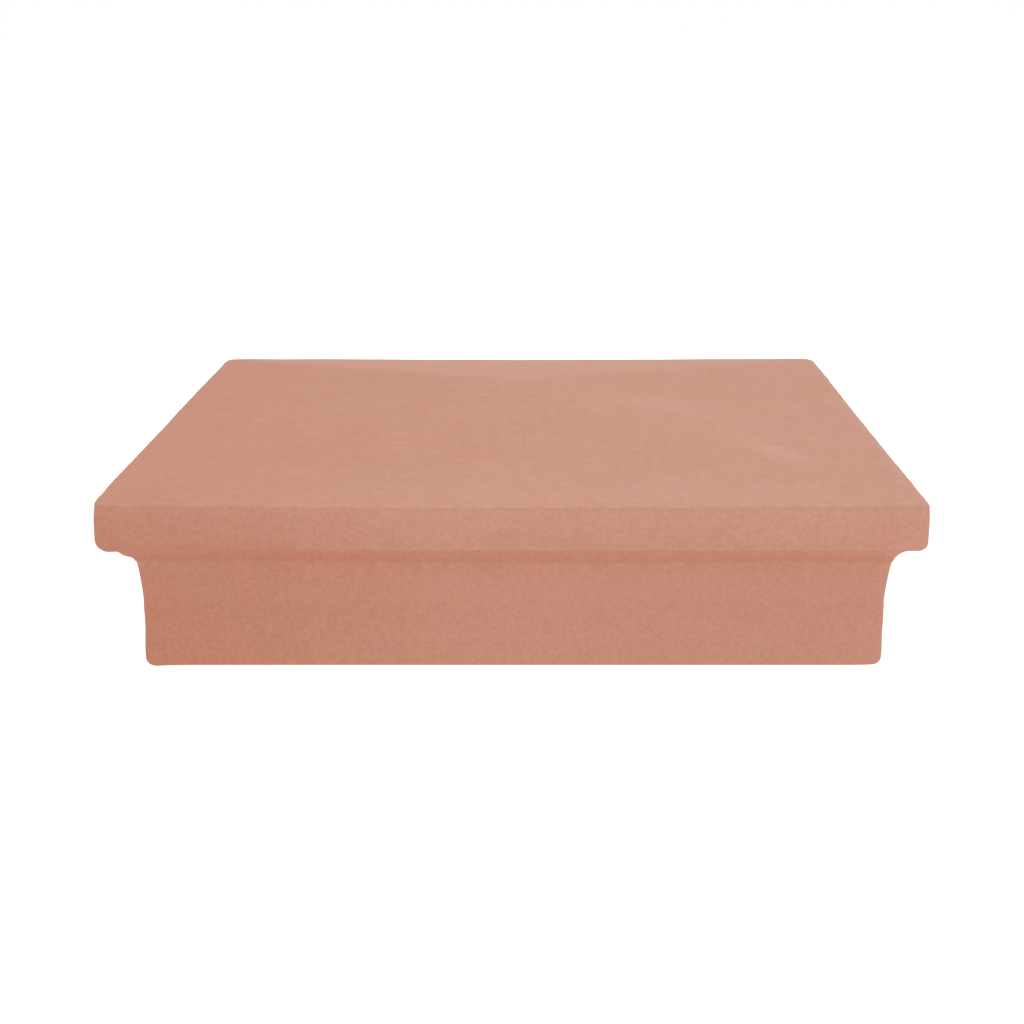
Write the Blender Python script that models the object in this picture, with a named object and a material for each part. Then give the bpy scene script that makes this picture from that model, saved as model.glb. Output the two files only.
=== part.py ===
"""A square cast-stone pier cap.

Four shallow slopes shed the rain to a plain vertical fascia. Under the fascia a narrow
soffit turns into a cove. The cove ends in a short splay, and a slight batter brings the
section in to the square neck that beds on the pier. The cap is one casting, so it is one
closed solid.

Metres, +Z up. The origin is the centre of the underside, on the bed joint.
"""

import math

import bmesh
import bpy

# Section, from the bed joint up. Runs are level and drops are upright.
NECK_WIDTH = 0.440  # square neck, face to face
NECK_HEIGHT = 0.0405  # underside to the foot of the batter
BATTER_DROP = 0.024
BATTER_RUN = 0.0024
SPLAY_DROP = 0.0026
COVE_RADIUS = 0.017
COVE_FOOT_PITCH = math.radians(66)  # from the level, and the pitch of the splay too
COVE_HEAD_PITCH = math.radians(10)
SOFFIT_WIDTH = 0.0048  # from the head of the cove to the face of the fascia
FASCIA_HEIGHT = 0.0285  # soffit to eave
SLOPE_RISE = 0.029  # eave to peak, if the peak were sharp

# Worn arrises, as the radius of each rounding
BED_ARRIS = 0.004  # underside to neck
DRIP_ARRIS = 0.0045  # soffit to fascia
EAVE_ARRIS = 0.0018  # fascia to slope
NECK_CORNER = 0.006  # upright corners of the neck, in plan
SLAB_CORNER = 0.008  # upright corners of the fascia, in plan
HIP_ROUNDING = 0.018  # hips between the slopes, in plan
PEAK_ROUNDING = 0.022  # half-width over which the peak is blunted

# How finely the rounded stretches are divided
ARC_STEPS = 6
COVE_STEPS = 12
CORNER_STEPS = 8
SLOPE_STEPS = 6
PEAK_STEPS = 5
LEAST_CORNER = 0.0008  # no corner in plan is drawn sharper than this

# Sizes that follow
SPLAY_RUN = SPLAY_DROP / math.tan(COVE_FOOT_PITCH)
COVE_RUN = COVE_RADIUS * (math.sin(COVE_FOOT_PITCH) - math.sin(COVE_HEAD_PITCH))
COVE_DROP = COVE_RADIUS * (math.cos(COVE_HEAD_PITCH) - math.cos(COVE_FOOT_PITCH))
SPLAY_FOOT = NECK_HEIGHT + BATTER_DROP
COVE_FOOT = SPLAY_FOOT + SPLAY_DROP
SOFFIT_LEVEL = COVE_FOOT + COVE_DROP
EAVE_LEVEL = SOFFIT_LEVEL + FASCIA_HEIGHT
NECK_HALF = NECK_WIDTH / 2
SPLAY_FOOT_HALF = NECK_HALF + BATTER_RUN
COVE_HEAD_HALF = SPLAY_FOOT_HALF + SPLAY_RUN + COVE_RUN
SLAB_HALF = COVE_HEAD_HALF + SOFFIT_WIDTH
SLOPE = SLOPE_RISE / SLAB_HALF

# Finish
STONE_COLOUR = (0.56, 0.275, 0.192, 1.0)
STONE_ROUGHNESS = 0.92
SMOOTH_UNDER = math.radians(30)


def spread(start, end, steps):
    """Angles in radians from start to end, both included."""
    return [start + (end - start) * step / steps for step in range(steps + 1)]


def inner_corner(corner, inset):
    """Plan radius of a corner after its faces have moved in by inset."""
    return max(corner - inset, LEAST_CORNER)


def bed_arris():
    """Stations (half-width, height, plan corner) from the underside up to the neck."""
    radius = min(BED_ARRIS, NECK_HEIGHT)
    stations = []
    for angle in spread(-math.pi / 2, 0, ARC_STEPS):
        inset = radius * (1 - math.cos(angle))
        height = radius * (1 + math.sin(angle))
        stations.append((NECK_HALF - inset, height, inner_corner(NECK_CORNER, inset)))
    return stations


def drip_radius():
    """The rounding between soffit and fascia, limited by both of them."""
    return min(DRIP_ARRIS, SOFFIT_WIDTH, FASCIA_HEIGHT / 2)


def cove_corner(half):
    """Plan corner between neck and soffit, which changes evenly as the section runs out."""
    head_corner = inner_corner(SLAB_CORNER, drip_radius())
    share = (half - NECK_HALF) / (COVE_HEAD_HALF - NECK_HALF)
    return NECK_CORNER + (head_corner - NECK_CORNER) * share


def batter():
    """The top of the upright neck, and the head of the straight batter above it."""
    stations = []
    for half, height in ((NECK_HALF, NECK_HEIGHT), (SPLAY_FOOT_HALF, SPLAY_FOOT)):
        stations.append((half, height, cove_corner(half)))
    return stations


def cove():
    """An arc from the head of the straight splay to the soffit."""
    stations = []
    for pitch in spread(COVE_FOOT_PITCH, COVE_HEAD_PITCH, COVE_STEPS):
        half = COVE_HEAD_HALF - COVE_RADIUS * (math.sin(pitch) - math.sin(COVE_HEAD_PITCH))
        height = SOFFIT_LEVEL - COVE_RADIUS * (math.cos(COVE_HEAD_PITCH) - math.cos(pitch))
        stations.append((half, height, cove_corner(half)))
    return stations


def drip_arris():
    """The rounded lower edge of the fascia."""
    radius = drip_radius()
    stations = []
    for angle in spread(-math.pi / 2, 0, ARC_STEPS):
        inset = radius * (1 - math.cos(angle))
        height = SOFFIT_LEVEL + radius * (1 + math.sin(angle))
        stations.append((SLAB_HALF - inset, height, inner_corner(SLAB_CORNER, inset)))
    return stations


def eave_arris():
    """The rounded upper edge of the fascia, tangent to the fascia and to the slope."""
    radius = min(EAVE_ARRIS, FASCIA_HEIGHT / 2)
    pitch = math.atan(SLOPE)
    centre = EAVE_LEVEL + radius * math.tan(pitch) - radius / math.cos(pitch)
    stations = []
    for angle in spread(0, math.pi / 2 - pitch, ARC_STEPS):
        inset = radius * (1 - math.cos(angle))
        height = centre + radius * math.sin(angle)
        stations.append((SLAB_HALF - inset, height, inner_corner(SLAB_CORNER, inset)))
    return stations


def slope(eave_half, eave_corner):
    """The four slopes, from the eave arris to where the blunting of the peak begins."""
    stations = []
    for step in range(1, SLOPE_STEPS + 1):
        share = step / SLOPE_STEPS
        half = eave_half + (PEAK_ROUNDING - eave_half) * share
        height = EAVE_LEVEL + SLOPE * (SLAB_HALF - half)
        corner = eave_corner + (HIP_ROUNDING - eave_corner) * share
        stations.append((half, height, min(corner, half)))
    return stations


def peak_height(half):
    """Height of the blunted peak: a parabola that leaves the slope at its own pitch."""
    sharp_peak = EAVE_LEVEL + SLOPE_RISE
    return sharp_peak - SLOPE * (half**2 / PEAK_ROUNDING + PEAK_ROUNDING) / 2


def peak():
    """Shrinking rings over the blunted peak, without the point at its top."""
    stations = []
    for step in range(1, PEAK_STEPS):
        half = PEAK_ROUNDING * (1 - step / PEAK_STEPS)
        corner = HIP_ROUNDING * half / PEAK_ROUNDING
        stations.append((half, peak_height(half), min(corner, half)))
    return stations


def section():
    """Every station of the half-section, from the underside to the peak."""
    stations = bed_arris() + batter() + cove() + drip_arris() + eave_arris()
    eave_half, _, eave_corner = stations[-1]
    stations += slope(eave_half, eave_corner) + peak()
    kept = stations[:1]
    for station in stations[1:]:
        if math.dist(station[:2], kept[-1][:2]) > 1e-6:
            kept.append(station)
    return kept


def rounded_square(half, corner):
    """Plan points anticlockwise from the +X side, one arc for each corner."""
    points = []
    for turn in range(4):
        towards = turn * math.pi / 2 + math.pi / 4
        centre_x = math.copysign(half - corner, math.cos(towards))
        centre_y = math.copysign(half - corner, math.sin(towards))
        for angle in spread(turn * math.pi / 2, (turn + 1) * math.pi / 2, CORNER_STEPS):
            x = centre_x + corner * math.cos(angle)
            y = centre_y + corner * math.sin(angle)
            points.append((x, y))
    return points


def stone():
    """Rough, unglazed terracotta-coloured cast stone."""
    material = bpy.data.materials.new("cast_stone")
    material.use_nodes = True
    shader = material.node_tree.nodes["Principled BSDF"]
    shader.inputs["Base Color"].default_value = STONE_COLOUR
    shader.inputs["Roughness"].default_value = STONE_ROUGHNESS
    shader.inputs["Metallic"].default_value = 0.0
    return material


def pier_cap():
    """Rings of the plan at every station, skinned into one closed body."""
    body = bmesh.new()
    rings = []
    for half, height, corner in section():
        ring = [body.verts.new((x, y, height)) for x, y in rounded_square(half, corner)]
        rings.append(ring)
    count = len(rings[0])
    for lower, upper in zip(rings, rings[1:]):
        for i in range(count):
            j = (i + 1) % count
            body.faces.new((lower[i], lower[j], upper[j], upper[i]))
    body.faces.new(list(reversed(rings[0])))
    top = body.verts.new((0, 0, peak_height(0)))
    for i in range(count):
        body.faces.new((rings[-1][i], rings[-1][(i + 1) % count], top))
    mesh = bpy.data.meshes.new("pier_cap")
    body.to_mesh(mesh)
    body.free()
    mesh.materials.append(stone())
    mesh.shade_smooth()
    mesh.set_sharp_from_angle(angle=SMOOTH_UNDER)
    cap = bpy.data.objects.new("pier_cap", mesh)
    bpy.context.collection.objects.link(cap)
    return cap


for leftover in list(bpy.data.objects):
    bpy.data.objects.remove(leftover)
pier_cap()
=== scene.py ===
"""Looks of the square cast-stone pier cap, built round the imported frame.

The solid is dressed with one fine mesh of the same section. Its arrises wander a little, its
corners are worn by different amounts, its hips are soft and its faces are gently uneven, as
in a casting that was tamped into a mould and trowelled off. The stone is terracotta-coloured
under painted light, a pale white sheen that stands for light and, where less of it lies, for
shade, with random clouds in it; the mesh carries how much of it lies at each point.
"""

import math

import bpy
import numpy as np
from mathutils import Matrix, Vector, noise


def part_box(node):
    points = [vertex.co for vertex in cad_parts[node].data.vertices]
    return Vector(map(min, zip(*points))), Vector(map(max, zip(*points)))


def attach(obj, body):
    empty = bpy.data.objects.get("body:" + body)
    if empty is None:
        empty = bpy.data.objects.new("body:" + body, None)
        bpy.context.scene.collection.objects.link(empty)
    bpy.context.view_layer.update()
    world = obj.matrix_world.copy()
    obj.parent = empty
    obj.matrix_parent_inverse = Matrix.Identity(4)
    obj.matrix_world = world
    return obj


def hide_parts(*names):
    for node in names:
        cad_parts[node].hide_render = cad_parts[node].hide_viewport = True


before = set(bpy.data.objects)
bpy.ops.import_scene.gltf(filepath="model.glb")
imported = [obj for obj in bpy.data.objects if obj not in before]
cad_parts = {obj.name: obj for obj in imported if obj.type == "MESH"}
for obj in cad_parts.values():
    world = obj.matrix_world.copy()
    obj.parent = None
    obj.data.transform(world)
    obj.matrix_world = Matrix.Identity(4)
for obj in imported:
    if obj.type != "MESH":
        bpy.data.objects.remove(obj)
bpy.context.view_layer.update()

# Section of the cap in metres, as the solid has it
LOW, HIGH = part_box("pier_cap")
SLAB_HALF = (HIGH.x - LOW.x) / 2
BASE_LEVEL = LOW.z
NECK_HEIGHT = 0.0405
BATTER_DROP = 0.024
BATTER_RUN = 0.0024
SPLAY_DROP = 0.0026
COVE_RADIUS = 0.017
COVE_FOOT_PITCH = math.radians(66)
COVE_HEAD_PITCH = math.radians(10)
SOFFIT_WIDTH = 0.0048
FASCIA_HEIGHT = 0.0285
SLOPE_RISE = 0.029
PEAK_ROUNDING = 0.022
SPLAY_RUN = SPLAY_DROP / math.tan(COVE_FOOT_PITCH)
COVE_RUN = COVE_RADIUS * (math.sin(COVE_FOOT_PITCH) - math.sin(COVE_HEAD_PITCH))
COVE_DROP = COVE_RADIUS * (math.cos(COVE_HEAD_PITCH) - math.cos(COVE_FOOT_PITCH))
COVE_HEAD_HALF = SLAB_HALF - SOFFIT_WIDTH
SPLAY_FOOT_HALF = COVE_HEAD_HALF - COVE_RUN - SPLAY_RUN
NECK_HALF = SPLAY_FOOT_HALF - BATTER_RUN
NECK_TOP = BASE_LEVEL + NECK_HEIGHT
SPLAY_FOOT = NECK_TOP + BATTER_DROP
SPLAY_HEAD = SPLAY_FOOT + SPLAY_DROP
SOFFIT_LEVEL = SPLAY_HEAD + COVE_DROP
DRIP_LEVEL = SOFFIT_LEVEL - 0.0002  # the drip edge hangs this much below the solid's
EAVE_LEVEL = SOFFIT_LEVEL + FASCIA_HEIGHT
SLOPE = SLOPE_RISE / SLAB_HALF
PITCH = math.atan(SLOPE)

# Worn edges in metres. Corners run anticlockwise from +X+Y: back right, back left, front
# left, front right.
BED_ARRIS = 0.004
DRIP_ARRIS = 0.0040
DRIP_CORNER_ARRIS = 0.0050
EAVE_ARRIS = 0.0016
EAVE_CORNER_ARRIS = 0.0026
CORNER_REACH = 0.060  # how far from a corner its extra wear runs
SLAB_CORNERS = np.array((0.0095, 0.0085, 0.0110, 0.0045))
NECK_CORNERS = np.array((0.006, 0.007, 0.007, 0.006))
LEAST_CORNER = 0.001
TOP_CORNER = 0.018  # plan rounding of the rings near the peak
MOST_TOP_CORNER = 0.6  # and the share of a ring's half-width that it never passes
PEAK_HALF = 0.004  # half-width of the last ring before the peak

# Form of this casting, in metres, where it strays from the drawn section. The sags are how far
# the middles of the right, back, left and front eaves lie below the corners.
HIP_BLEND = 0.004  # in plan, how far two slopes melt into each other at a hip
HIP_SWAY = 0.004  # how far the hips stray from straight lines
HIP_SWAY_TURNS = (31, 27)  # radians a metre of that, along X and along Y
HIP_SWAY_STARTS = (1.0, 2.0)
TOP_SETTLE = 0.0009  # the peak lies this much below the solid's
TOP_START = 0.012  # the slopes take their own form over this distance from the eave
EAVE_SAGS = np.array((0.0008, 0.0008, 0.0, 0.0012))
SAG_START = 0.25  # share of the half-width inside which the top doesn't sag
NECK_SHIFT = 0.0013  # the neck sits this far to +X of the slab's middle
SLAB_SWELLS = (0.0001, 0.0003)  # the slab's right and left sides stand out this much more
NECK_SWELL = 0.0003  # and all sides of the neck this much
# How far a ring counts as part of the slab, from 0 on the neck to 1 at the fascia
BATTER_HEAD_SLAB = 0.1
SPLAY_SLAB = 0.2
SWELL_END_SLAB = 0.3  # where the neck's swell has run out
SHIFT_END_SLAB = 0.9  # and its shift
# How much higher than drawn the splay runs, by place in X
SPLAY_CLIMB = (
    (-0.240, 0.0010),
    (-0.183, 0.0012),
    (-0.140, 0.0014),
    (-0.092, 0.0010),
    (-0.060, 0.0),
    (0.050, -0.0002),
    (0.106, 0.0003),
    (0.166, 0.0007),
    (0.240, 0.0005),
)

# How the surfaces wander, in metres
FACE_WAVES = ((0.00022, 0.11), (0.00016, 0.034), (0.00007, 0.009))  # depth and wavelength
ARRIS_WEAR = 0.0004
ARRIS_WAVELENGTHS = (0.013, 0.006)
CORNER_WEAR = 0.0005
CORNER_WAVELENGTH = 0.018
BED_CALM = 0.006  # the surface wanders freely from this height above the underside
# Lumps and losses at the front corners: place, radius and how far the surface stands out
LUMPS = (
    ((-0.240, -0.232, 0.088), 0.014, 0.0005),
    ((-0.241, -0.235, 0.1045), 0.006, -0.0010),
    ((-0.234, -0.234, 0.0775), 0.006, 0.0010),
    ((-0.2265, -0.2265, 0.0720), 0.006, 0.0013),
    ((-0.2250, -0.2250, 0.0690), 0.006, 0.0025),
    ((0.2245, -0.2245, 0.069), 0.010, 0.0011),
    ((-0.2215, -0.2215, 0.006), 0.014, 0.0011),
    ((0.2215, -0.2215, 0.000), 0.010, -0.0006),
    ((0.2385, -0.2385, 0.0800), 0.006, 0.0002),
    ((0.2405, -0.2405, 0.1040), 0.005, -0.0008),
    ((0.240, -0.234, 0.0970), 0.010, 0.0003),
)

# Fineness of the mesh
CORNER_STEPS = 10
SIDE_STEPS = 205
UNDERSIDE_RINGS = 3
ARRIS_STEPS = 6
NECK_STEPS = 16
BATTER_STEPS = 7
SPLAY_STEPS = 3
COVE_STEPS = 8
FASCIA_STEPS = 11
SLOPE_STEPS = 40

SIGNS = np.array(((1, 1), (-1, 1), (-1, -1), (1, -1)))
LAPS = 4 * (CORNER_STEPS + SIDE_STEPS)

# Painted light on the upright faces, by height, as a white sheen: 0 none, 1 as on the slopes.
# The low values under the slab are painted shade, and the last row a painted highlight on the
# eave arris.
FACE_PAINTED_LIGHT = (
    (BASE_LEVEL, 0.30),
    (BASE_LEVEL + 0.006, 0.44),
    (BASE_LEVEL + 0.020, 0.46),
    (NECK_TOP - 0.008, 0.43),
    (NECK_TOP + 0.009, 0.47),
    (SPLAY_FOOT - 0.0040, 0.49),
    (SPLAY_FOOT - 0.0002, 0.47),
    (SPLAY_FOOT + 0.0008, 0.26),
    (SPLAY_FOOT + 0.0020, 0.06),
    (SPLAY_HEAD + 0.0010, 0.08),
    (SPLAY_HEAD + 0.0033, 0.17),
    (SPLAY_HEAD + 0.0050, 0.30),
    (DRIP_LEVEL - 0.0004, 0.24),
    (DRIP_LEVEL + 0.0004, 0.34),
    (DRIP_LEVEL + 0.0013, 0.38),
    (DRIP_LEVEL + 0.0028, 0.43),
    (DRIP_LEVEL + 0.0050, 0.50),
    (DRIP_LEVEL + 0.012, 0.53),
    (EAVE_LEVEL - 0.009, 0.59),
    (EAVE_LEVEL - 0.0038, 0.63),
    (EAVE_LEVEL - 0.0012, 0.62),
    (EAVE_LEVEL - 0.0001, 1.22),
)
# How much higher than in that table the painted light's lower line on the fascia runs, where the
# painted shade under the slab begins, by place in X
SHADE_LINE_CLIMB = (
    (-0.240, 0.0022),
    (-0.183, 0.0027),
    (-0.140, 0.0026),
    (-0.115, 0.0014),
    (-0.060, 0.0010),
    (-0.030, 0.0001),
    (0.106, 0.0001),
    (0.145, 0.0014),
    (0.170, 0.0013),
    (0.200, 0.0002),
)
# Painted light on the right, back, left and front slopes, the back one with the most painted
# sheen, and what changes it there
SLOPE_PAINTED_LIGHT = np.array((1.01, 1.25, 1.00, 1.05))
SLOPE_TURN = 0.006  # how softly one slope's painted light passes into the next
EAVE_TURN = 0.004  # and how softly the fascia's painted light passes into the slope's
EAVE_HIGHLIGHT = 0.16  # painted highlight: more painted light on the front slope by the eave
EAVE_HIGHLIGHT_REACH = 0.09
STREAK = (0.163, -0.140)  # middle of the painted highlight, a pale streak beside the front right hip
STREAK_HEADING = (0.41, -0.91)
STREAK_LENGTH = 0.034
STREAK_WIDTH = 0.012
STREAK_HIGHLIGHT = 0.36
# Soft patches on the slopes: middle, reach in X and in Y, and how much paler they make it, darker
# below 0
PATCHES = (
    (0.102, -0.036, 0.052, 0.030, 0.24),
    (0.128, -0.105, 0.022, 0.022, 0.08),
    (-0.185, 0.070, 0.010, 0.022, -0.12),
    (-0.194, -0.055, 0.010, 0.022, -0.12),
    (-0.192, -0.153, 0.010, 0.022, -0.12),
)
# Painted shade towards the left end, where less light falls: the painted light fades there
FADE_START = -0.02  # place in X
FADE_RATE = 2.25  # a metre, on the neck and the fascia
SLOPE_FADES = np.array((0.7, 0.15, 0.35, 0.7))  # share of it on each slope
COVE_SPARED = 0.5  # share of it that the cove is spared
EAVE_SPARED = 0.35  # and the top of the fascia
# Bands of height, as where each starts, is full, begins to end and has ended
SPLAY_BAND = (NECK_TOP, SPLAY_FOOT, SPLAY_HEAD, DRIP_LEVEL)
FASCIA_FOOT_BAND = (DRIP_LEVEL - 0.004, DRIP_LEVEL, DRIP_LEVEL + 0.003, DRIP_LEVEL + 0.012)
COVE_BAND = (SPLAY_FOOT - 0.012, SPLAY_FOOT - 0.001, DRIP_LEVEL, DRIP_LEVEL + 0.002)
WARM_BAND = (SPLAY_FOOT - 0.010, SPLAY_FOOT - 0.002, SPLAY_HEAD + 0.002, SPLAY_HEAD + 0.007)
EAVE_RAMP = (EAVE_LEVEL - 0.010, EAVE_LEVEL - 0.001)  # heights of the top of the fascia
EAVE_CRUMBS = EAVE_LEVEL - 0.005  # the edge is crumbly above this height

# Colours of the stone, as linear red, green and blue
BARE_COLOUR = (0.464, 0.2026, 0.1356)  # without its painted light
PAINTED_LIGHT_COLOUR = (0.080, 0.0875, 0.080)  # what full painted light adds to it, a nearly white sheen
TOP_WARMTH = (0.012, -0.003, -0.007)  # and what the middle of the slopes has besides
SLOPE_COOLING = 0.6  # share of that which the lit right end has less, and the shaded left end more: painted light and shade
COVE_WARMTH = 0.8  # share of it by the foot of the cove, painted warm shade there
COVE_WARM_START = (-0.19, -0.09)  # places in X over which that sets in
NECK_WARMTH = 0.3  # share of it on the middle of the neck
NECK_COOLING = 0.3  # share that the lit right end of the neck has less, and the shaded left end more: painted light and shade
PINK_TINT = (1.017, 0.980, 1.026, 1)
YELLOW_TINT = (0.985, 1.019, 0.969, 1)
TINT_ON_FACES = 0.4
TINT_ON_SLOPES = (-0.15, 0.12, 0.3, 1.0)  # from one place in X to another, its least and most
WHITE = (1, 1, 1, 1)

# Noises of the stone: lumps to the metre, detail and roughness, then the values that it runs
# between
DRIFT = (18, 3, 0.6, -0.09, 0.09)  # broad clouds in the painted sheen
BLOTCHES = (130, 3, 0.8, -0.25, 0.25)  # and small ones on the slopes
CRUMBS = (480, 2, 0.8, -0.45, 0.35)  # crumbs of it along the eave
HUES = (42, 3, 0.6, 0.0, 1.0)  # from the yellow tint to the pink one
GRAIN = (380, 2.5, 0.9, -0.067, 0.067)  # dark and pale grains
PITS = (420, 3, 0.8)  # pits and grains that the light shows
NOISE_RANGE = (0.25, 0.75)  # a noise keeps mostly between these
GRAIN_ON_SLOPES = 0.35  # share of the grain that shows on the slopes
GRAIN_GAIN = 0.858  # how much of a grain's tone scales the colour
GRAIN_LIFT = 0.246  # and how much is added to it
PIT_STRENGTH = 0.25
PIT_DEPTH = 0.0008
STONE_ROUGHNESS = 0.9
STONE_SHINE = 0.1

# Setting
FLOOR_SIZE = 120
FLOOR_GAP = 0.0002
FLOOR_GREY = (0.3, 0.3, 0.3, 1)
FLOOR_GLOW = 0.96
ROOM_BRIGHTNESS = 1.0
KEY_PLACE = (0.9, -0.3, 1.3)
KEY_SIZE = 0.9
KEY_POWER = 2.0
SENSOR_WIDTH = 36
LENS = 65.19
SHIFT = -0.0297
CAMERA_DIP = math.radians(14.7)  # how far below the level it looks
# To the right of the middle, in front of the fascia and above the eave, in widths of the cap
CAMERA_PLACE = (0.03794, 2.13246, 0.55061)


def smoothstep(low, high, value):
    """0 up to low, 1 from high on, and a soft ramp between them; low may be the larger."""
    t = np.clip((value - low) / (high - low), 0, 1)
    return t * t * (3 - 2 * t)


def in_band(band, value):
    """1 inside a band, 0 outside it, with a soft ramp at either end."""
    start, full, ending, end = band
    return smoothstep(start, full, value) * smoothstep(end, ending, value)


def look_up(table, value):
    """Second column of a table where its first has this value, straight between the rows."""
    return np.interp(value, [row[0] for row in table], [row[1] for row in table])


def wander(points, wavelength, seed):
    """Smooth noise from -1 to 1 at each point, with lumps of about this wavelength."""
    offset = np.array((seed * 17.3, seed * 5.9, seed * 11.7))
    scaled = points / wavelength + offset
    return np.array([noise.noise(Vector(p)) for p in scaled])


def angles(start, end, steps):
    """Angles from start to end in degrees, both included, as radians."""
    return [math.radians(start + (end - start) * i / steps) for i in range(steps + 1)]


def corner_share():
    """For every point of a ring, 1 at a corner and 0 well along the side."""
    shares = []
    for k in range(4):
        shares += [1.0] * (CORNER_STEPS + 1)
        for i in range(1, SIDE_STEPS):
            away = min(i, SIDE_STEPS - i) / SIDE_STEPS * 2 * SLAB_HALF
            shares.append(float(smoothstep(CORNER_REACH, 0, away)))
    return np.array(shares)


NEAR_CORNER = corner_share()
DRIP = DRIP_ARRIS + (DRIP_CORNER_ARRIS - DRIP_ARRIS) * NEAR_CORNER
EAVE = EAVE_ARRIS + (EAVE_CORNER_ARRIS - EAVE_ARRIS) * NEAR_CORNER


class Station:
    """One ring of the mesh: its half-width and height, and which way it faces there."""

    def __init__(self, half, height, facing, slab, arris=0.0, top=0.0):
        self.half = np.full(LAPS, half, float)
        self.height = np.full(LAPS, height, float)
        self.facing = facing  # angle of the normal above the level
        self.slab = slab  # how far it counts as part of the slab
        self.arris = arris  # 1 in the middle of a rounding, 0 off it
        self.top = top  # share of the way from the eave to the peak


def underside():
    """Flat rings from the middle of the bed out to its arris."""
    reach = NECK_HALF - BED_ARRIS
    shares = [(i + 1) / (UNDERSIDE_RINGS + 1) for i in range(UNDERSIDE_RINGS)]
    return [Station(reach * s, BASE_LEVEL, -math.pi / 2, 0) for s in shares]


def bed_arris():
    """The rounding between underside and neck."""
    rings = []
    for a in angles(-90, 0, ARRIS_STEPS):
        half = NECK_HALF - BED_ARRIS * (1 - math.cos(a))
        height = BASE_LEVEL + BED_ARRIS * (1 + math.sin(a))
        rings.append(Station(half, height, a, 0, arris=math.sin(-2 * a)))
    return rings


def neck():
    """The upright neck."""
    start = BASE_LEVEL + BED_ARRIS
    heights = [start + (NECK_TOP - start) * i / NECK_STEPS for i in range(1, NECK_STEPS)]
    return [Station(NECK_HALF, height, 0, 0) for height in heights]


def batter():
    """The slight outward lean over the neck."""
    lean = math.atan(BATTER_RUN / BATTER_DROP)
    rings = []
    for i in range(BATTER_STEPS + 1):
        share = i / BATTER_STEPS
        half = NECK_HALF + BATTER_RUN * share
        height = NECK_TOP + BATTER_DROP * share
        rings.append(Station(half, height, -lean, BATTER_HEAD_SLAB * share))
    return rings


def splay():
    """The short splay between the batter and the cove."""
    lean = math.pi / 2 - COVE_FOOT_PITCH
    rings = []
    for i in range(1, SPLAY_STEPS):
        share = i / SPLAY_STEPS
        half = SPLAY_FOOT_HALF + SPLAY_RUN * share
        rings.append(Station(half, SPLAY_FOOT + SPLAY_DROP * share, -lean, SPLAY_SLAB))
    return rings


def cove():
    """The arc from the splay to the soffit."""
    stretch = (DRIP_LEVEL - SPLAY_HEAD) / COVE_DROP
    foot, head = math.degrees(COVE_FOOT_PITCH), math.degrees(COVE_HEAD_PITCH)
    rings = []
    for pitch in angles(foot, head, COVE_STEPS):
        half = COVE_HEAD_HALF - COVE_RADIUS * (math.sin(pitch) - math.sin(COVE_HEAD_PITCH))
        below = COVE_RADIUS * (math.cos(COVE_HEAD_PITCH) - math.cos(pitch))
        slab = (half - NECK_HALF) / (SLAB_HALF - NECK_HALF)
        rings.append(Station(half, DRIP_LEVEL - stretch * below, pitch - math.pi / 2, slab))
    return rings


def drip_arris():
    """The rounding between soffit and fascia, larger at the corners."""
    rings = []
    for a in angles(-90, 0, ARRIS_STEPS):
        half = SLAB_HALF - DRIP * (1 - math.cos(a))
        height = DRIP_LEVEL + DRIP * (1 + math.sin(a))
        rings.append(Station(half, height, a, 1, arris=math.sin(-2 * a)))
    return rings


def fascia():
    """The upright face of the slab."""
    start = DRIP_LEVEL + DRIP
    end = EAVE_LEVEL - EAVE
    shares = [i / FASCIA_STEPS for i in range(1, FASCIA_STEPS)]
    return [Station(SLAB_HALF, start + (end - start) * s, 0, 1) for s in shares]


def eave_arris():
    """The rounding between fascia and slope, larger at the corners."""
    centre = EAVE_LEVEL + EAVE * (math.tan(PITCH) - 1 / math.cos(PITCH))
    rings = []
    for a in angles(0, 90 - math.degrees(PITCH), ARRIS_STEPS):
        half = SLAB_HALF - EAVE * (1 - math.cos(a))
        rings.append(Station(half, centre + EAVE * math.sin(a), a, 1, arris=math.sin(2 * a)))
    return rings


def slopes():
    """The rings that climb from the eave to the peak."""
    start = SLAB_HALF - EAVE * (1 - math.sin(PITCH))
    rings = []
    for i in range(1, SLOPE_STEPS + 1):
        share = i / SLOPE_STEPS
        half = start + (PEAK_HALF - start) * share
        height = EAVE_LEVEL + SLOPE * (SLAB_HALF - half)
        rings.append(Station(half, height, math.pi / 2 - PITCH, 1, top=share))
    return rings


def ring_corners(station):
    """Plan radii of the four corners of a ring."""
    worn = NECK_CORNERS + (SLAB_CORNERS - NECK_CORNERS) * station.slab
    least_half = station.half.min()
    if station.top > 0:
        rounder = worn + (TOP_CORNER - worn) * station.top
        return np.minimum(rounder, MOST_TOP_CORNER * least_half)
    inset = NECK_HALF + (SLAB_HALF - NECK_HALF) * station.slab - station.half.max()
    return np.minimum(np.maximum(worn - max(inset, 0), LEAST_CORNER), least_half)


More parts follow.
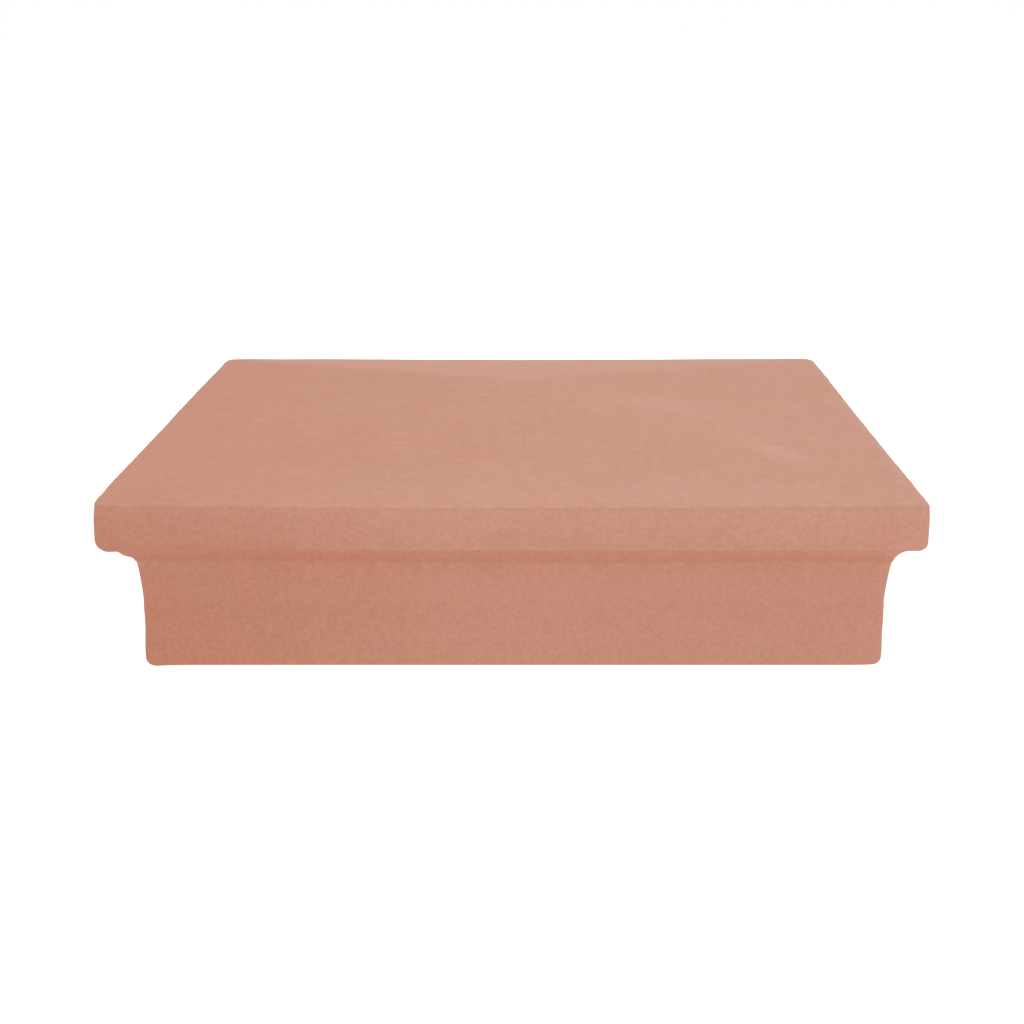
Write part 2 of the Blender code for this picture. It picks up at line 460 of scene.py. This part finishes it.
def ring_plan(half, corners):
    """Points and outward directions anticlockwise round a rounded square."""
    points, outward = [], []
    for k in range(4):
        following = (k + 1) % 4
        turn = [(math.cos(a), math.sin(a)) for a in angles(90 * k, 90 * (k + 1), CORNER_STEPS)]
        turn = np.array(turn)
        first = k * (CORNER_STEPS + SIDE_STEPS)
        widths = half[first : first + CORNER_STEPS + 1, None]
        points.append(SIGNS[k] * (widths - corners[k]) + corners[k] * turn)
        outward.append(turn)
        face = turn[-1]
        along = np.array((face[1], -face[0]))
        shares = np.arange(1, SIDE_STEPS)[:, None] / SIDE_STEPS
        widths = half[first + CORNER_STEPS + 1 : first + CORNER_STEPS + SIDE_STEPS, None]
        start, end = widths - corners[k], corners[following] - widths
        points.append(widths * face + (start + (end - start) * shares) * along)
        outward.append(np.repeat(face[None], SIDE_STEPS - 1, 0))
    return np.vstack(points), np.vstack(outward)


def ring_points(stations):
    """Places and normals of all ring points as drawn, and their arris, top and slab marks."""
    places, normals, marks = [], [], []
    for s in stations:
        points, outward = ring_plan(s.half, ring_corners(s))
        places.append(np.column_stack((points, s.height)))
        rise = np.full(LAPS, math.sin(s.facing))
        normals.append(np.column_stack((outward * math.cos(s.facing), rise)))
        marks.append(np.tile((s.arris, s.top, s.slab), (LAPS, 1)))
    arris, top, slab = np.vstack(marks).T
    return np.vstack(places), np.vstack(normals), arris, top, slab


def top_height(x, y):
    """Height of the four slopes over the plan, with soft hips and a blunted peak."""
    by_x = np.sin(x * HIP_SWAY_TURNS[0] + HIP_SWAY_STARTS[0])
    by_y = np.sin(y * HIP_SWAY_TURNS[1] + HIP_SWAY_STARTS[1])
    sway = HIP_SWAY * by_x * by_y
    reach = np.stack((x + sway, -x - sway, y, -y)) / HIP_BLEND
    most = reach.max(0)
    half = HIP_BLEND * (most + np.log(np.exp(reach - most).sum(0)))
    slope = (SLOPE_RISE - TOP_SETTLE) / SLAB_HALF
    blunt = slope * np.clip(PEAK_ROUNDING - half, 0, None) ** 2 / (2 * PEAK_ROUNDING)
    return EAVE_LEVEL + slope * (SLAB_HALF - half) - blunt


def settle(drawn, top, slab):
    """Places after the drawn rings have taken the form of this casting."""
    x, y, z = drawn.T.copy()
    level = drawn[:, 2]
    reach = np.maximum(abs(x), abs(y))
    sloped = top > 0
    ramp = smoothstep(0.0, TOP_START, SLAB_HALF - reach)
    z[sloped] = (z + (top_height(x, y) - z) * ramp)[sloped]
    side = np.stack((x, y, -x, -y)).argmax(0)
    sag = EAVE_SAGS[side] * (1 - (np.minimum(abs(x), abs(y)) / np.maximum(reach, 1e-6)) ** 2)
    fade = smoothstep(SAG_START * SLAB_HALF, SLAB_HALF, reach)
    z -= slab * fade * sag * smoothstep(DRIP_LEVEL, EAVE_LEVEL, z)
    z += in_band(SPLAY_BAND, level) * look_up(SPLAY_CLIMB, x)
    x += NECK_SHIFT * (1 - smoothstep(0.0, SHIFT_END_SLAB, slab))
    x += slab * SLAB_SWELLS[0] * np.clip(x / SLAB_HALF, 0, 1)
    x -= slab * SLAB_SWELLS[1] * np.clip(-x / SLAB_HALF, 0, 1)
    return np.column_stack((x, y, z))


def neck_share(slab):
    """1 on the neck, and 0 from the foot of the cove up."""
    return 1 - smoothstep(0.0, SWELL_END_SLAB, slab)


def relief(places, arris, slab):
    """How far the surface stands out at each point: waves, wear, swells and lumps."""
    depth = np.zeros(len(places))
    for seed, (amount, wavelength) in enumerate(FACE_WAVES, 1):
        depth += amount * wander(places, wavelength, seed)
    coarse, fine = (wander(places, w, s) for s, w in enumerate(ARRIS_WAVELENGTHS, 4))
    wear = 0.5 + 0.5 * coarse + 0.5 * fine
    depth -= ARRIS_WEAR * np.clip(arris, 0, 1) * np.clip(wear, 0, 2)
    near_corner = np.tile(NEAR_CORNER, len(places) // LAPS)
    depth += CORNER_WEAR * near_corner**4 * wander(places, CORNER_WAVELENGTH, 6)
    depth += NECK_SWELL * neck_share(slab)
    depth *= smoothstep(BASE_LEVEL, BASE_LEVEL + BED_CALM, places[:, 2])
    for centre, radius, amount in LUMPS:
        away = np.linalg.norm(places - centre, axis=1) / radius
        depth += amount * np.exp(-(away**2))
    return depth


def left_painted_shade(x):
    """Painted shade: what the painted light loses towards the left end, as a number below 0."""
    return -FADE_RATE * np.clip(FADE_START - x, 0, None)


def face_painted_light(x, z):
    """Painted light on the neck, in the cove and on the fascia, with painted shade under the slab
    and towards the left end.
    """
    # Painted shade in the band under the slab, its upper line raised towards the left
    painted_light = look_up(FACE_PAINTED_LIGHT, z - in_band(FASCIA_FOOT_BAND, z) * look_up(SHADE_LINE_CLIMB, x))
    spared = COVE_SPARED * in_band(COVE_BAND, z) + EAVE_SPARED * smoothstep(*EAVE_RAMP, z)
    return painted_light + left_painted_shade(x) * (1 - spared)


def slope_painted_light(x, y):
    """Painted light on the four slopes, with painted highlights by the front eave and beside the
    front right hip, the soft patches, and painted shade towards the left end.
    """
    reach = np.stack((x, y, -x, -y))
    weights = np.exp((reach - reach.max(0)) / SLOPE_TURN)
    weights /= weights.sum(0)
    painted_light = (weights * SLOPE_PAINTED_LIGHT[:, None]).sum(0)
    inward = 1 - np.clip(abs(x) / SLAB_HALF, 0, 1) ** 3
    # Painted highlight along the front eave
    by_eave = smoothstep(EAVE_HIGHLIGHT_REACH, 0.0, SLAB_HALF - reach.max(0))
    painted_light += EAVE_HIGHLIGHT * by_eave * weights[3] * inward
    # Painted highlight: the pale streak beside the front right hip
    east, north = x - STREAK[0], y - STREAK[1]
    along = STREAK_HEADING[0] * east + STREAK_HEADING[1] * north
    off = STREAK_HEADING[0] * north - STREAK_HEADING[1] * east
    painted_light += STREAK_HIGHLIGHT * np.exp(-((along / STREAK_LENGTH) ** 2) - (off / STREAK_WIDTH) ** 2)
    for middle_x, middle_y, reach_x, reach_y, more in PATCHES:
        away = np.hypot((x - middle_x) / reach_x, (y - middle_y) / reach_y)
        painted_light += more * np.exp(-(away**2))
    return painted_light + left_painted_shade(x) * (weights * SLOPE_FADES[:, None]).sum(0)


def painted_light_amount(x, y, z, top):
    """How much painted light, as a white sheen, lies on the stone at each point; less of it is
    painted shade.
    """
    on_faces = face_painted_light(x, z)
    inland = SLAB_HALF - np.maximum(abs(x), abs(y))
    share = smoothstep(0.0, EAVE_TURN, inland) * (top > 0)
    return on_faces + (slope_painted_light(x, y) - on_faces) * share


def warmth_with_painted_shade(x, z, upward, slab):
    """Share of the slopes' warmth that each point has. What grows towards the left end and by the
    foot of the cove is painted shade, and what falls away towards the right end painted light.
    """
    across = x / SLAB_HALF
    by_cove = in_band(WARM_BAND, z) * smoothstep(*COVE_WARM_START, x)
    # Painted shade: warmer towards the shaded left end and by the cove's foot, cooler towards the
    # lit right end
    warmth_and_painted_shade = upward * (1 - SLOPE_COOLING * across) + COVE_WARMTH * by_cove
    return warmth_and_painted_shade + neck_share(slab) * (NECK_WARMTH - NECK_COOLING * across)


def cap_faces(rings):
    """Quads between the rings, and a fan at the middle of the underside and at the peak."""
    faces = []
    for r in range(rings - 1):
        a, b = r * LAPS, (r + 1) * LAPS
        for i in range(LAPS):
            j = (i + 1) % LAPS
            faces.append((a + i, a + j, b + j, b + i))
    last = (rings - 1) * LAPS
    bottom = rings * LAPS
    peak = bottom + 1
    for i in range(LAPS):
        j = (i + 1) % LAPS
        faces.append((j, i, bottom))
        faces.append((last + i, last + j, peak))
    return faces


def cap_mesh():
    """All rings of the cap, displaced, as one closed mesh that carries the amounts of painted
    light, painted shade and warmth for its colour.
    """
    stations = underside() + bed_arris() + neck() + batter() + splay() + cove()
    stations += drip_arris() + fascia() + eave_arris() + slopes()
    drawn, normals, arris, top, slab = ring_points(stations)
    settled = settle(drawn, top, slab)
    places = settled + normals * relief(settled, arris, slab)[:, None]
    places[:, 2] = np.maximum(places[:, 2], BASE_LEVEL)
    places = np.vstack((places, (0, 0, BASE_LEVEL), places[-LAPS:].mean(0)))
    mesh = bpy.data.meshes.new("pier_cap_stone")
    mesh.from_pydata(places.tolist(), [], cap_faces(len(stations)))
    mesh.shade_smooth()

    x, y, level = settled[:, 0], settled[:, 1], drawn[:, 2]
    upward = np.where(top > 0, 1, np.clip(normals[:, 2] / math.cos(PITCH), 0, 1))
    eave = np.clip(arris, 0, 1) * (level > EAVE_CRUMBS)
    warmth_and_painted_shade = warmth_with_painted_shade(x, level, upward, slab)
    # Each with its values in the middle of the underside and at the peak
    layers = {
        # Amount of painted light and shade, as a white sheen, at each point
        "painted_light": (painted_light_amount(x, y, level, top), (0, 1)),
        "eave": (eave, (0, 0)),
        "upward": (upward, (0, 1)),
        "warmth_and_painted_shade": (warmth_and_painted_shade, (0, 1)),
    }
    for name, (values, ends) in layers.items():
        layer = mesh.attributes.new(name, "FLOAT", "POINT")
        layer.data.foreach_set("value", np.append(values, ends).astype(np.float32))
    return mesh


class Nodes:
    """Small helper that adds shader nodes and joins them."""

    def __init__(self, material):
        self.tree = material.node_tree

    def link(self, output, input_socket):
        """Joins two sockets."""
        self.tree.links.new(output, input_socket)

    def add(self, kind, inputs=None, **settings):
        """A node of this kind, with its settings and its inputs, which are values or sockets."""
        node = self.tree.nodes.new(kind)
        for name, value in settings.items():
            setattr(node, name, value)
        for name, value in (inputs or {}).items():
            if isinstance(value, bpy.types.NodeSocket):
                self.link(value, node.inputs[name])
            else:
                node.inputs[name].default_value = value
        return node

    def attribute(self, name):
        """Value that the mesh carries under this name."""
        return self.add("ShaderNodeAttribute", attribute_name=name).outputs["Fac"]

    def ramp(self, value, start, end, low, high):
        """Takes start to low and end to high, held flat outside them."""
        inputs = {"Value": value, "From Min": start, "From Max": end, "To Min": low, "To Max": high}
        return self.add("ShaderNodeMapRange", inputs).outputs["Result"]

    def noise(self, place, scale, detail, roughness):
        """Factor of a noise texture with this many lumps to the metre."""
        inputs = {"Vector": place, "Scale": scale, "Detail": detail, "Roughness": roughness}
        return self.add("ShaderNodeTexNoise", inputs).outputs[0]

    def cloud(self, place, scale, detail, roughness, low, high):
        """A noise stretched to run from low to high."""
        factor = self.noise(place, scale, detail, roughness)
        return self.ramp(factor, *NOISE_RANGE, low, high)

    def math(self, operation, first, second):
        """Result of one sum on two values or sockets."""
        node = self.add("ShaderNodeMath", {0: first, 1: second}, operation=operation)
        return node.outputs[0]

    def scaled(self, colour, factor, more):
        """A colour times a factor, and more added to it."""
        inputs = {0: colour, 1: factor, 2: more}
        return self.add("ShaderNodeVectorMath", inputs, operation="MULTIPLY_ADD").outputs[0]

    def mix(self, factor, first, second, blend="MIX"):
        """Two colours mixed by a factor."""
        inputs = {0: factor, 6: first, 7: second}
        return self.add("ShaderNodeMix", inputs, data_type="RGBA", blend_type=blend).outputs[2]


def colour_with_painted_light(nodes, place, upward):
    """The bare stone under painted light, a white sheen that stands for light and, where less of it
    lies, for shade; it is cloudy, blotched on the slopes and crumbly where the eave is worn."""
    painted_light = nodes.math("ADD", nodes.attribute("painted_light"), nodes.cloud(place, *DRIFT))
    blotches = nodes.math("MULTIPLY", upward, nodes.cloud(place, *BLOTCHES))
    painted_light = nodes.math("ADD", painted_light, blotches)
    crumbs = nodes.math("MULTIPLY", nodes.attribute("eave"), nodes.cloud(place, *CRUMBS))
    painted_light = nodes.math("ADD", painted_light, crumbs)
    # Painted light: a nearly white sheen added by the amount the mesh carries, less of it where
    # shade falls
    colour = nodes.scaled(PAINTED_LIGHT_COLOUR, painted_light, BARE_COLOUR)
    return nodes.scaled(TOP_WARMTH, nodes.attribute("warmth_and_painted_shade"), colour)


def tinted(nodes, place, upward, colour):
    """The colour with patches that are a little pinker or yellower."""
    tints = nodes.mix(nodes.cloud(place, *HUES), YELLOW_TINT, PINK_TINT)
    x = nodes.add("ShaderNodeSeparateXYZ", {"Vector": place}).outputs["X"]
    share = nodes.ramp(upward, 0, 1, TINT_ON_FACES, nodes.ramp(x, *TINT_ON_SLOPES))
    return nodes.mix(share, colour, tints, "MULTIPLY")


def grained(nodes, place, upward, colour):
    """The colour with dark and pale grains of sand in it."""
    share = nodes.ramp(upward, 0, 1, 1.0, GRAIN_ON_SLOPES)
    tone = nodes.math("MULTIPLY", nodes.cloud(place, *GRAIN), share)
    gain = nodes.math("ADD", nodes.math("MULTIPLY", tone, GRAIN_GAIN), 1.0)
    return nodes.scaled(colour, gain, nodes.math("MULTIPLY", tone, GRAIN_LIFT))


def cast_stone():
    """Terracotta-coloured cast stone: sandy, a little cloudy, paler where painted light lies on it
    as a white sheen.
    """
    material = bpy.data.materials.new("cast_stone_surface")
    material.use_nodes = True
    shader = material.node_tree.nodes["Principled BSDF"]
    nodes = Nodes(material)
    place = nodes.add("ShaderNodeTexCoord").outputs["Object"]
    upward = nodes.attribute("upward")
    colour = colour_with_painted_light(nodes, place, upward)
    colour = tinted(nodes, place, upward, colour)
    nodes.link(grained(nodes, place, upward, colour), shader.inputs["Base Color"])
    pits = {
        "Height": nodes.noise(place, *PITS),
        "Strength": PIT_STRENGTH,
        "Distance": PIT_DEPTH,
    }
    nodes.link(nodes.add("ShaderNodeBump", pits).outputs["Normal"], shader.inputs["Normal"])
    shader.inputs["Roughness"].default_value = STONE_ROUGHNESS
    shader.inputs["Specular IOR Level"].default_value = STONE_SHINE
    return material


def pier_cap_stone():
    """The dressed cap, which stands for the solid."""
    mesh = cap_mesh()
    mesh.materials.append(cast_stone())
    piece = bpy.data.objects.new("pier_cap_stone", mesh)
    bpy.context.scene.collection.objects.link(piece)
    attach(piece, "root")
    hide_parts("pier_cap")


def floor():
    """A plain pale floor that glows a little, as on a light table."""
    material = bpy.data.materials.new("pale_floor")
    material.use_nodes = True
    shader = material.node_tree.nodes["Principled BSDF"]
    shader.inputs["Base Color"].default_value = FLOOR_GREY
    shader.inputs["Roughness"].default_value = 1.0
    shader.inputs["Specular IOR Level"].default_value = 0.0
    shader.inputs["Emission Color"].default_value = WHITE
    shader.inputs["Emission Strength"].default_value = FLOOR_GLOW
    level = BASE_LEVEL - FLOOR_GAP
    bpy.ops.mesh.primitive_plane_add(size=FLOOR_SIZE, location=(0, 0, level))
    plane = bpy.context.object
    plane.name = "floor"
    plane.data.materials.append(material)


def studio_light():
    """A white room with one large soft light, high and to the right."""
    world = bpy.data.worlds.new("white_room")
    bpy.context.scene.world = world
    world.use_nodes = True
    background = world.node_tree.nodes["Background"]
    background.inputs["Color"].default_value = WHITE
    background.inputs["Strength"].default_value = ROOM_BRIGHTNESS
    data = bpy.data.lights.new("key", "AREA")
    data.shape = "SQUARE"
    data.size = KEY_SIZE
    data.energy = KEY_POWER
    light = bpy.data.objects.new("key", data)
    light.location = KEY_PLACE
    light.rotation_euler = Vector(KEY_PLACE).to_track_quat("Z", "Y").to_euler()
    bpy.context.scene.collection.objects.link(light)


def camera():
    """The photograph's viewpoint: square on, and looking down a little."""
    width = 2 * SLAB_HALF
    right, back, up = (share * width for share in CAMERA_PLACE)
    data = bpy.data.cameras.new("camera")
    data.sensor_width = SENSOR_WIDTH
    data.lens = LENS
    data.shift_x = SHIFT
    view = bpy.data.objects.new("camera", data)
    view.location = (right, -(SLAB_HALF + back), EAVE_LEVEL + up)
    view.rotation_euler = (math.pi / 2 - CAMERA_DIP, 0, 0)
    bpy.context.scene.collection.objects.link(view)
    bpy.context.scene.camera = view


camera()
pier_cap_stone()
floor()
studio_light()
bpy.context.scene.view_settings.view_transform = "Standard"
